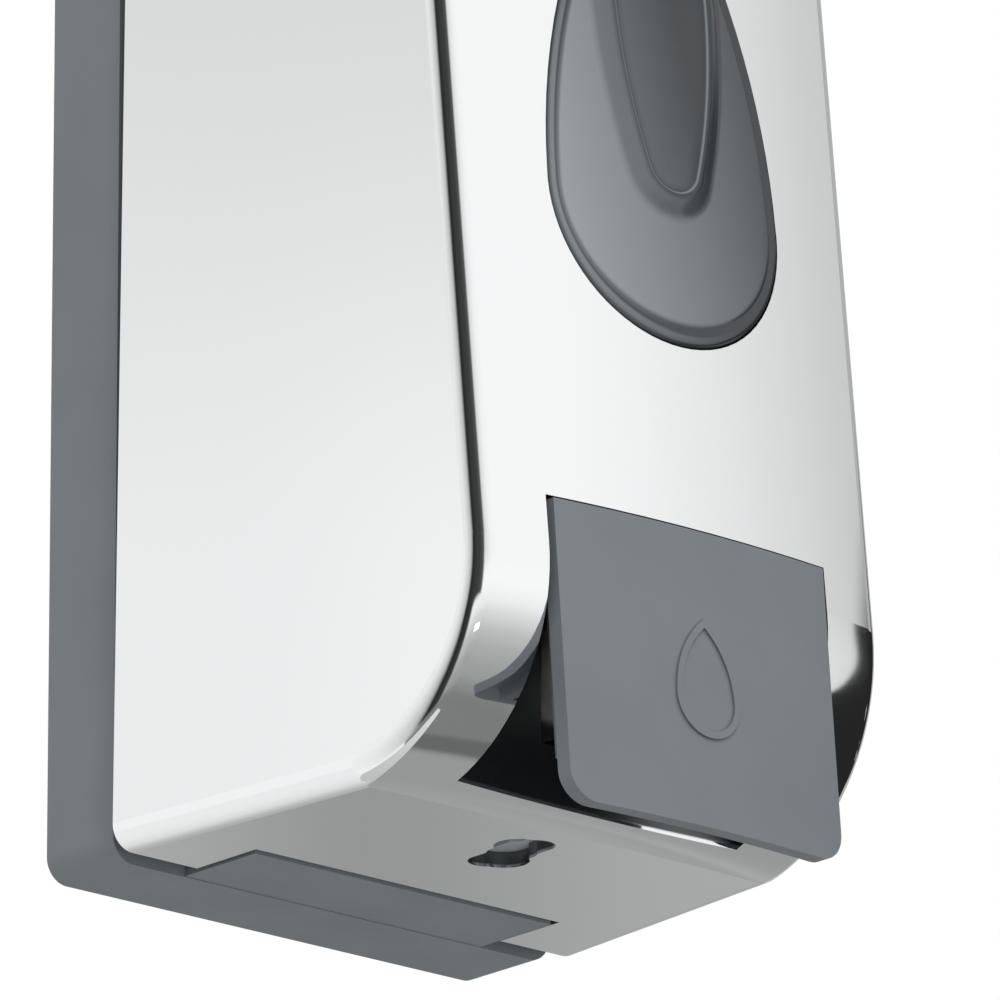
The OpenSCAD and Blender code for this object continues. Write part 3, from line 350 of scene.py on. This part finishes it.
def relief(tree, place, shader, coarse, fine):
    """Two layers of height, each as size, depth and strength."""
    normal = None
    for size_mm, depth_mm, strength in (coarse, fine):
        bumps = add(tree, "ShaderNodeTexNoise", {
            "Vector": place, "Scale": per(size_mm), "Detail": BUMP_DETAIL})
        bump = add(tree, "ShaderNodeBump", {
            "Strength": strength, "Distance": depth_mm * MM, "Height": bumps.outputs["Fac"]})
        if normal:
            tree.links.new(normal, bump.inputs["Normal"])
        normal = bump.outputs["Normal"]
    tree.links.new(normal, shader.inputs["Normal"])


def moulded(name, tones, gloss, grain, specular=0.5):
    """Moulded polymer or rubber: faint flow clouds, spark-eroded grain and an even sheen."""
    material, tree, place, shader = new_finish(name)
    mottle(tree, place, shader, FLOW_CLOUD, tones, gloss)
    # The real grain is finer than a pixel, so it is drawn as coarse as it needs to show
    relief(tree, place, shader, FLOW_WAVES, grain)
    shader.inputs["IOR"].default_value = 1.5
    shader.inputs["Specular IOR Level"].default_value = specular
    return material


def below_skin(tree, place):
    """Depth in mm below the outer skin of the cover: its front, rolls and sides."""
    spot = add(tree, "ShaderNodeVectorMath", {0: place, "Scale": 1 / MM}, operation="SCALE")
    split = add(tree, "ShaderNodeSeparateXYZ", {"Vector": spot.outputs[0]})
    x, y, z = (split.outputs[axis] for axis in "XYZ")
    lean = math.tan(FRONT_LEAN)
    front_at_wall = COVER_DEPTH + LEAN_HEIGHT * lean
    side_at_wall = COVER_HALF_FRONT + SIDE_TAPER * (COVER_DEPTH - CORNER_BACK + LEAN_HEIGHT * lean)
    # The front leans only between its two rolls
    lowest = LOW_ROLL_R * (1 + math.sin(FRONT_LEAN)) - COVER_HALF_HEIGHT
    highest = COVER_HALF_HEIGHT - HIGH_ROLL_R * (1 - math.sin(FRONT_LEAN))
    leaning = add(tree, "ShaderNodeClamp", {"Value": z, "Min": lowest, "Max": highest}).outputs[0]
    upright = add(tree, "ShaderNodeMath", {0: leaning, 1: -lean, 2: y}, operation="MULTIPLY_ADD").outputs[0]
    # The crown is shallow enough to be taken as a parabola
    square = add(tree, "ShaderNodeMath", {0: x, 1: x}, operation="MULTIPLY").outputs[0]
    flat = add(tree, "ShaderNodeMath", {0: square, 1: -0.5 / CROWN_R, 2: upright}, operation="MULTIPLY_ADD")
    front = add(tree, "ShaderNodeMath", {0: flat.outputs[0], 1: front_at_wall}, operation="ADD").outputs[0]
    wide = add(tree, "ShaderNodeMath", {0: x}, operation="ABSOLUTE").outputs[0]
    reach = add(tree, "ShaderNodeMath", {0: upright, 1: SIDE_TAPER, 2: side_at_wall},
                operation="MULTIPLY_ADD")
    side = add(tree, "ShaderNodeMath", {0: reach.outputs[0], 1: wide}, operation="SUBTRACT").outputs[0]
    levels = []
    for way in (1, -1):
        level = add(tree, "ShaderNodeMath", {0: z, 1: way, 2: COVER_HALF_HEIGHT}, operation="MULTIPLY_ADD")
        levels.append(level.outputs[0])
    # Each step rounds the corner between two faces, and the last rounds the edges of the sides
    deep = front
    for radius, other in ((LOW_ROLL_R, levels[0]), (HIGH_ROLL_R, levels[1]), (SIDE_EDGE_R, side)):
        gaps = []
        for inside in (deep, other):
            gap = add(tree, "ShaderNodeMath", {0: radius, 1: inside}, operation="SUBTRACT").outputs[0]
            gaps.append(add(tree, "ShaderNodeMath", {0: gap, 1: 0.0}, operation="MAXIMUM").outputs[0])
        corner = add(tree, "ShaderNodeCombineXYZ", {"X": gaps[0], "Y": gaps[1]})
        span = add(tree, "ShaderNodeVectorMath", {0: corner.outputs[0]}, operation="LENGTH")
        rounded = add(tree, "ShaderNodeMath", {0: radius, 1: span.outputs["Value"]}, operation="SUBTRACT")
        deep = rounded.outputs[0]
    return deep


def chrome_plated_abs():
    """Chrome over ABS: a clear mirror with slow waves and fine orange peel, with painted shade inside,
    where it is darker and dull.
    """
    material, tree, place, shader = new_finish("chrome_plated_abs")
    bright, gloss = mottle(
        tree, place, shader, size_mm=60, tones=("#F1F3F3", "#EEF1F1"), gloss=(0.04, 0.06))
    inner = add(tree, "ShaderNodeMapRange", {
        "Value": below_skin(tree, place), "From Min": BRIGHT_DEPTH, "From Max": WELL_SHADE_DEPTH})
    # Painted shade: below the skin the chrome turns to a dark grey, standing in for the shade and dark
    # reflections inside the well
    painted_shade = add(tree, "ShaderNodeMix", {
        "Factor": inner.outputs["Result"], "A": bright, "B": colour("#707375")}, data_type="RGBA")
    dull = add(tree, "ShaderNodeMix", {
        "Factor": inner.outputs["Result"], "A": gloss, "B": WELL_ROUGHNESS}, data_type="FLOAT")
    tree.links.new(painted_shade.outputs["Result"], shader.inputs["Base Color"])
    tree.links.new(dull.outputs["Result"], shader.inputs["Roughness"])
    relief(tree, place, shader, coarse=(45, 0.008, 0.08), fine=(1.6, 0.002, 0.06))
    shader.inputs["Metallic"].default_value = 1
    return material


def moulded_smoked_acrylic():
    """Moulded smoked acrylic: a hard clear gloss, darkened by its smoke and by the painted shade held with
    it in one attribute.
    """
    material, tree, place, shader = new_finish("moulded_smoked_acrylic")
    clear = mottle(
        tree, place, shader, size_mm=22, tones=("#959CA1", "#8F969B"), gloss=(0.14, 0.2))[0]
    smoke_and_shade_level = add(tree, "ShaderNodeAttribute", attribute_name="smoke_and_shade")
    smoky_and_shaded = add(tree, "ShaderNodeMix", {
        "Factor": smoke_and_shade_level.outputs["Fac"], "A": clear, "B": colour("#33373A")}, data_type="RGBA")
    tree.links.new(smoky_and_shaded.outputs["Result"], shader.inputs["Base Color"])
    relief(tree, place, shader, coarse=(14, 0.02, 0.08), fine=(1.2, 0.002, 0.08))
    shader.inputs["IOR"].default_value = 1.49
    shader.inputs["Transmission Weight"].default_value = 0.12
    return material


def blow_moulded_polyethylene():
    """Blow-moulded natural polyethylene: milky, with light passing softly through it."""
    material, tree, place, shader = new_finish("blow_moulded_polyethylene")
    mottle(tree, place, shader, size_mm=25, tones=("#E6E9E4", "#D9DDD7"), gloss=(0.32, 0.42))
    relief(tree, place, shader, coarse=(12, 0.05, 0.25), fine=(1.0, 0.01, 0.2))
    shader.inputs["IOR"].default_value = 1.52
    shader.inputs["Transmission Weight"].default_value = 0.35
    return material


def turned_stainless():
    """Turned stainless steel: bright grey with tool marks, drawn coarse enough to show."""
    material, tree, place, shader = new_finish("turned_stainless")
    mottle(tree, place, shader, size_mm=4, tones=("#C9CBCC", "#B4B7B9"), gloss=(0.2, 0.32))
    relief(tree, place, shader, coarse=(3, 0.01, 0.2), fine=(0.25, 0.006, 0.3))
    shader.inputs["Metallic"].default_value = 1
    return material


def phosphated_spring_steel():
    """Phosphated spring steel: near black and a little shiny, its crystals drawn coarse enough to show."""
    material, tree, place, shader = new_finish("phosphated_spring_steel")
    mottle(tree, place, shader, size_mm=1.5, tones=("#2B2C2E", "#1F2022"), gloss=(0.4, 0.55))
    relief(tree, place, shader, coarse=(2, 0.01, 0.2), fine=(0.2, 0.004, 0.4))
    shader.inputs["Metallic"].default_value = 0.6
    return material


def paint_node(name, material):
    """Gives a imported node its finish."""
    mesh = nodes[name].data
    mesh.materials.clear()
    mesh.materials.append(material)


# Sight lens: sizes in mm, and smoke with painted shade from 0, clear, to 1, dark

LENS_HALF = 23.8
LENS_HEIGHT = -7.0
LENS_SIDE_R = 107.0
LENS_TOP_R = 11.0
LENS_TOP = math.sqrt((LENS_SIDE_R - LENS_TOP_R) ** 2 - (LENS_SIDE_R - LENS_HALF) ** 2)
LENS_GAP = 0.25
LENS_FACE = 0.36
LENS_FOOT = -COVER_WALL - 0.8
LENS_BACK = -COVER_WALL - 2.6
FLANGE_INSET = -2.8
DOME_RISE = 0.4
DOME_MIDDLE = 14
DOME_REACH = 75
RIM_SIDE = 1.9
RIM_FOOT = 1.4
RIM_END = 1.3
DROP_LOW_R = 5.6
DROP_HIGH_R = 10.0
DROP_LOW = 6.6
DROP_HIGH = 35.5
DROP_FLANK = 4.2
DROP_RISE = 1.5
DROP_TOP = LENS_FACE + DROP_RISE
DISH_INSET = 2.4
DISH_DEPTH = 0.75
DISH_HOLLOW = 0.2
SPINE_INSET = 1
RING_POINTS = 240
PANE_STEPS = 12
FLANK_STEPS = 12
DISH_STEPS = 8
# In metres: points nearer than this are merged, and shorter edges dissolved
MERGE_REACH = 1e-7
THIN_EDGE = 1e-8
SHARP_ANGLE = math.radians(50)
# Smoke in the middle of the lens, then painted shade added at its right edge and per mm upwards, so that
# the lens is painted lighter to the left and below, as if lit from there
MIDDLE_SMOKE = 0.47
EDGE_PAINTED_SHADE = 0.42
UPWARD_PAINTED_SHADE = 0.0035
# Fixed tone of the drop's crest: a painted highlight line between the darker painted shade beside it
CREST_PAINTED_HIGHLIGHT = 0.5
# Painted shade added in the dish on the drop's top, which darkens it
DISH_PAINTED_SHADE = 0.36
# Rim from its outer edge over its bead and groove to the pane: share of its width, height and added painted
# shade, darkest at its outer edge and groove
RIM_PROFILE = (
    (0, -0.3, 0.7), (0.02, -0.05, 0.65), (0.08, 0.15, 0.55), (0.16, 0.28, 0.45), (0.28, 0.36, 0.38),
    (0.42, 0.38, 0.36), (0.52, 0.36, 0.55), (0.62, 0.3, 0.8), (0.72, 0.26, 0.75), (0.82, 0.23, 0.6),
    (0.92, 0.2, 0.6), (1, 0.2, 0.45), (1.08, 0.27, 0.2), (1.18, 0.33, 0), (RIM_END, LENS_FACE, 0))
# Inner wall of the drop from crest to dish: inset, depth, and added painted shade, or None for the crest's
# painted highlight
CREST_PROFILE = (
    (0.2, 0.01, 0.5), (0.35, 0.04, None), (0.5, 0.12, None), (0.7, 0.25, 0.5), (1.0, 0.46, 0.46),
    (1.5, 0.66, 0.4), (DISH_INSET, DISH_DEPTH, DISH_PAINTED_SHADE))


def on_front(x, along, height):
    """Point in metres on the crowned, leaning front, at a height over it in mm."""
    out = CROWN_R - math.sqrt((CROWN_R + height) ** 2 - x * x)
    up = (LENS_HEIGHT - LEAN_HEIGHT) / math.cos(FRONT_LEAN) + along
    lean, straight = math.sin(FRONT_LEAN), math.cos(FRONT_LEAN)
    y = out * straight + up * lean - COVER_DEPTH
    z = up * straight - out * lean + LEAN_HEIGHT
    return Vector((x, y, z)) * MM


def on_arc(middle, radius, angle):
    """Point of a circle at this angle."""
    return (middle[0] + radius * math.cos(angle), middle[1] + radius * math.sin(angle))


def egg_point(angle, inset):
    """Edge of the lens where it faces this angle, round foot and narrow top."""
    off = LENS_SIDE_R - LENS_HALF
    if angle <= 0:
        middle, radius = (0, 0), LENS_HALF
    elif angle < math.atan2(LENS_TOP, off):
        middle, radius = (-off, 0), LENS_SIDE_R
    else:
        middle, radius = (0, LENS_TOP), LENS_TOP_R
    return on_arc(middle, radius - inset, angle)


def rim_point(angle, share):
    """Edge of a ring of the rim, from its outer edge at 0 to its groove at 1, widest at the foot."""
    width = RIM_SIDE + RIM_FOOT * max(0, -math.sin(angle)) ** 2
    return egg_point(angle, LENS_GAP + share * width)


def drop_point(angle, inset):
    """Edge of the drop in the lens where it faces this angle, narrow foot and round top."""
    gap = DROP_HIGH - DROP_LOW
    side = (gap * gap / (DROP_HIGH_R - DROP_LOW_R) + DROP_HIGH_R + DROP_LOW_R) / 2
    off = side - DROP_HIGH_R
    if angle >= 0:
        middle, radius = (0, DROP_HIGH), DROP_HIGH_R
    elif angle > -math.atan2(gap, off):
        middle, radius = (-off, DROP_HIGH), side
    else:
        middle, radius = (0, DROP_LOW), DROP_LOW_R
    return on_arc(middle, radius - inset, angle)


def spine_point(angle, inset):
    """Middle line that the rings inside the drop close on."""
    low = DROP_LOW + inset
    return (0, low + (DROP_HIGH - low) * (1 + math.sin(angle)) / 2)


def ring_points(curves, insets, share):
    """Points of a closed ring between two outlines."""
    points = []
    for i in range(RING_POINTS):
        angle = -math.pi / 2 + 2 * math.pi * i / RING_POINTS
        side = 1 if i <= RING_POINTS / 2 else -1
        if side < 0:
            angle = math.pi - angle
        first = curves[0](angle, insets[0])
        last = curves[1](angle, insets[1])
        x = first[0] + (last[0] - first[0]) * share
        along = first[1] + (last[1] - first[1]) * share
        points.append((side * x, along))
    return points


def flank_painted_shade(near):
    """Painted shade added on the flank of the drop, soon full from its foot and deeper at its crest."""
    foot_shade, foot_share, foot_bend = 0.3, 0.35, 1.5
    crest_shade, crest_start, crest_share = 0.25, 0.8, 0.2
    foot = foot_shade * min(1, near / foot_share) ** foot_bend
    crest = crest_shade * max(0, near - crest_start) / crest_share
    return foot + crest


def lens_rings():
    """Rings of the lens from its back round to its dish.

    Each has the outlines it lies between, their insets, its share, its height and its added painted shade.
    """
    egg = (egg_point, egg_point)
    rim = (rim_point, rim_point)
    drop = (drop_point, drop_point)
    dish = (drop_point, spine_point)
    dish_insets = (DISH_INSET, SPINE_INSET)
    rings = []
    for share in (1, 0.5):
        rings.append((dish, dish_insets, share, LENS_BACK, 0))
    for share in (1, 0.5, 0):
        rings.append(((egg_point, drop_point), (FLANGE_INSET, DISH_INSET), share, LENS_BACK, 0))
    for inset in (FLANGE_INSET, LENS_GAP):
        rings.append((egg, (inset, inset), 0, LENS_FOOT, 0))
    for across, height, smoke_and_shade in RIM_PROFILE:
        rings.append((rim, (across, across), 0, height, smoke_and_shade))
    for step in range(1, PANE_STEPS):
        rings.append(((rim_point, drop_point), (RIM_END, -DROP_FLANK), step / PANE_STEPS, LENS_FACE, 0))
    for step in range(FLANK_STEPS + 1):
        near = step / FLANK_STEPS
        inset = -DROP_FLANK * (1 - near)
        slope = near * near * (3 - 2 * near)
        rings.append((drop, (inset, inset), 0, LENS_FACE + DROP_RISE * slope, flank_painted_shade(near)))
    for inset, sink, smoke_and_shade in CREST_PROFILE:
        rings.append((drop, (inset, inset), 0, DROP_TOP - sink, smoke_and_shade))
    for step in range(1, DISH_STEPS + 1):
        near = step / DISH_STEPS
        height = DROP_TOP - DISH_DEPTH - DISH_HOLLOW * (1 - (1 - near) ** 2)
        rings.append((dish, dish_insets, near, height, DISH_PAINTED_SHADE))
    return rings


def sight_lens(material):
    """Domed window: rounded rim, fine groove inside it, and the raised drop with its dished top."""
    grid = bmesh.new()
    smoke_and_shade_layer = grid.verts.layers.float.new("smoke_and_shade")
    rows = []
    for curves, insets, share, height, smoke_and_shade in lens_rings():
        row = []
        for x, along in ring_points(curves, insets, share):
            swell = 0
            if height > 0:
                across = 1 - (x / LENS_HALF) ** 2
                upwards = 1 - ((along - DOME_MIDDLE) / DOME_REACH) ** 2
                swell = DOME_RISE * across * upwards
            vertex = grid.verts.new(on_front(x, along, height + swell))
            # Smoke with painted shade: darker to the right and upwards, at the rim's edge and groove, on
            # the flank and in the dish, and a fixed tone along the crest as a painted highlight
            tint = CREST_PAINTED_HIGHLIGHT
            if smoke_and_shade is not None:
                tint = MIDDLE_SMOKE + EDGE_PAINTED_SHADE * x / LENS_HALF + UPWARD_PAINTED_SHADE * along + smoke_and_shade
            vertex[smoke_and_shade_layer] = min(max(tint, 0), 1)
            row.append(vertex)
        rows.append(row)
    for low, high in zip(rows, rows[1:]):
        for i in range(RING_POINTS):
            j = (i + 1) % RING_POINTS
            grid.faces.new((low[i], low[j], high[j], high[i]))
    bmesh.ops.remove_doubles(grid, verts=grid.verts, dist=MERGE_REACH)
    bmesh.ops.dissolve_degenerate(grid, edges=grid.edges, dist=THIN_EDGE)
    bmesh.ops.recalc_face_normals(grid, faces=grid.faces)
    for patch in grid.faces:
        patch.smooth = True
    mesh = bpy.data.meshes.new("sight_lens")
    grid.to_mesh(mesh)
    grid.free()
    mesh.materials.append(material)
    mesh.set_sharp_from_angle(angle=SHARP_ANGLE)
    lens_piece = bpy.data.objects.new("sight_lens", mesh)
    scene.collection.objects.link(lens_piece)
    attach(lens_piece, "cover")
    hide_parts("sight_window")


# Return spring: sizes in mm

SPRING_FRONT = -96.1
SPRING_SEAT = -87.7
PUMP_HEIGHT = -77.0
COIL_TURNS = 4.5
COIL_MEAN_R = 5.4
WIRE_R = 0.4
COIL_POINTS = 260
WIRE_SIDES = 14
# Share of the wire that lies flat at each end
FLAT_SHARE = 0.08
COIL_SIZES = {
    "Turns": COIL_TURNS,
    "Mean radius": COIL_MEAN_R * MM,
    "Length": (SPRING_SEAT - SPRING_FRONT - 2 * WIRE_R) * MM,
    "Wire radius": WIRE_R * MM,
}


def coil_tree(material):
    """Round wire on a helix whose end turns lie flat."""
    tree = bpy.data.node_groups.new("return_coil", "GeometryNodeTree")
    for name in COIL_SIZES:
        tree.interface.new_socket(name, in_out="INPUT", socket_type="NodeSocketFloat")
    tree.interface.new_socket("Geometry", in_out="OUTPUT", socket_type="NodeSocketGeometry")
    given = add(tree, "NodeGroupInput").outputs
    line = add(tree, "GeometryNodeCurvePrimitiveLine")
    points = add(tree, "GeometryNodeResampleCurve", {"Curve": line.outputs["Curve"], "Count": COIL_POINTS})
    along = add(tree, "GeometryNodeSplineParameter").outputs["Factor"]
    turns = add(tree, "ShaderNodeMath", {0: along, 1: given["Turns"]}, operation="MULTIPLY")
    angle = add(tree, "ShaderNodeMath", {0: turns.outputs[0], 1: 2 * math.pi}, operation="MULTIPLY")
    cosine = add(tree, "ShaderNodeMath", {0: angle.outputs[0]}, operation="COSINE")
    sine = add(tree, "ShaderNodeMath", {0: angle.outputs[0]}, operation="SINE")
    x = add(tree, "ShaderNodeMath", {0: cosine.outputs[0], 1: given["Mean radius"]}, operation="MULTIPLY")
    z = add(tree, "ShaderNodeMath", {0: sine.outputs[0], 1: given["Mean radius"]}, operation="MULTIPLY")
    lift = add(tree, "ShaderNodeMapRange", {
        "Value": along, "From Min": FLAT_SHARE, "From Max": 1 - FLAT_SHARE, "To Max": given["Length"]})
    spot = add(tree, "ShaderNodeCombineXYZ", {
        "X": x.outputs[0], "Y": lift.outputs["Result"], "Z": z.outputs[0]})
    helix = add(tree, "GeometryNodeSetPosition", {
        "Geometry": points.outputs["Curve"], "Position": spot.outputs[0]})
    wire = add(tree, "GeometryNodeCurvePrimitiveCircle", {
        "Resolution": WIRE_SIDES, "Radius": given["Wire radius"]})
    tube = add(tree, "GeometryNodeCurveToMesh", {
        "Curve": helix.outputs["Geometry"], "Profile Curve": wire.outputs["Curve"], "Fill Caps": True})
    smooth = add(tree, "GeometryNodeSetShadeSmooth", {"Geometry": tube.outputs["Mesh"]})
    real = add(tree, "GeometryNodeRealizeInstances", {"Geometry": smooth.outputs["Geometry"]})
    painted = add(tree, "GeometryNodeSetMaterial", {
        "Geometry": real.outputs["Geometry"], "Material": material})
    add(tree, "NodeGroupOutput", {"Geometry": painted.outputs["Geometry"]})
    return tree


def grown(name, tree, values, shift):
    """Runs a geometry tree and returns its result as a plain mesh at this shift."""
    seed = bpy.data.objects.new(name + "_seed", bpy.data.meshes.new(name + "_seed"))
    scene.collection.objects.link(seed)
    growth = seed.modifiers.new("growth", "NODES")
    growth.node_group = tree
    for item in tree.interface.items_tree:
        if item.item_type == "SOCKET" and item.in_out == "INPUT":
            growth[item.identifier] = values[item.name]
    bpy.context.view_layer.update()
    ready = seed.evaluated_get(bpy.context.evaluated_depsgraph_get())
    mesh = bpy.data.meshes.new_from_object(ready)
    mesh.transform(Matrix.Translation(shift))
    bpy.data.objects.remove(seed)
    piece = bpy.data.objects.new(name, mesh)
    scene.collection.objects.link(piece)
    return piece


def return_coil(material):
    """Return spring of the plunger, pressed between the gland and the plunger head."""
    front = Vector((0, (SPRING_FRONT + WIRE_R) * MM, PUMP_HEIGHT * MM))
    coil = grown("return_coil", coil_tree(material), COIL_SIZES, front)
    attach(coil, "wall_unit")
    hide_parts("return_spring")
    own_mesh(coil)


place_camera()
studio_world()
soft_lamp("key_softbox", place=(-1.6, -2.2, 1.6), power=60)
soft_lamp("low_fill", place=(-0.6, -2.4, -1.4), power=26)
pale_floor()

steel = turned_stainless()
black_steel = phosphated_spring_steel()
# Nitrile rubber: near black, with little shine and fine pits
rubber = moulded("moulded_nitrile_rubber", tones=("#1D1D1E", "#161617"), gloss=(0.55, 0.7),
                 grain=(0.6, 0.01, 0.3), specular=0.35)
# Glass-filled nylon: dark and dull, roughened by the fibres
dark_nylon = moulded("moulded_glass_filled_nylon", tones=("#3B3D3F", "#323436"), gloss=(0.4, 0.55),
                     grain=(0.35, 0.015, 0.4))
# Acetal: clean white with a waxy gloss and a faint grain
white_acetal = moulded("moulded_white_acetal", tones=("#EDEDE9", "#E4E4DF"), gloss=(0.28, 0.4),
                       grain=(0.5, 0.006, 0.25))
# Light grey ABS: an even satin
grey_abs = moulded("moulded_grey_abs", tones=("#A9AEB1", "#9DA2A6"), gloss=(0.35, 0.45),
                   grain=(0.4, 0.008, 0.3))
# Silicone: pale and milky, with a soft sheen
silicone = moulded("moulded_silicone", tones=("#D9DAD6", "#CDCFCA"), gloss=(0.4, 0.5),
                   grain=(0.6, 0.006, 0.2))
# ABS of the tray: blue-grey satin over a spark-eroded grain
tray_abs = moulded("satin_moulded_abs_tray", tones=("#747B80", "#6C7378"), gloss=(0.4, 0.5),
                   grain=(0.45, 0.012, 0.35))
# ABS of the lever: a shade darker, and a little smoother from handling
lever_abs = moulded("satin_moulded_abs_lever", tones=("#6D7378", "#666C71"), gloss=(0.36, 0.46),
                    grain=(0.45, 0.01, 0.3))
chrome = chrome_plated_abs()
smoked = moulded_smoked_acrylic()
tank = blow_moulded_polyethylene()

NODE_FINISHES = (
    (tray_abs, ("back_plate",)),
    (lever_abs, ("push_lever",)),
    (chrome, ("cover_shell",)),
    (smoked, ("sight_window",)),
    (tank, ("reservoir", "reservoir_top")),
    (grey_abs, ("reservoir_lid", "lock_core")),
    (dark_nylon, ("pump_shelf", "union_nut", "gland_cap", "window_frame", "lock_keeper")),
    (white_acetal, ("pump_body", "plunger")),
    (silicone, ("outlet_nozzle",)),
    (rubber, ("lid_gasket", "neck_gasket", "inlet_valve", "gland_seal", "window_gasket", "plunger_cap",
              "piston_seal")),
    (steel, ("shelf_screws", "hinge_pin", "frame_screws", "lever_pins", "keeper_screws", "lock_cam",
             "return_spring")),
    (black_steel, ("pin_clips", "cam_clip")),
)
for finish, node_names in NODE_FINISHES:
    for node_name in node_names:
        paint_node(node_name, finish)
return_coil(steel)
sight_lens(smoked)

scene.view_settings.view_transform = "Standard"
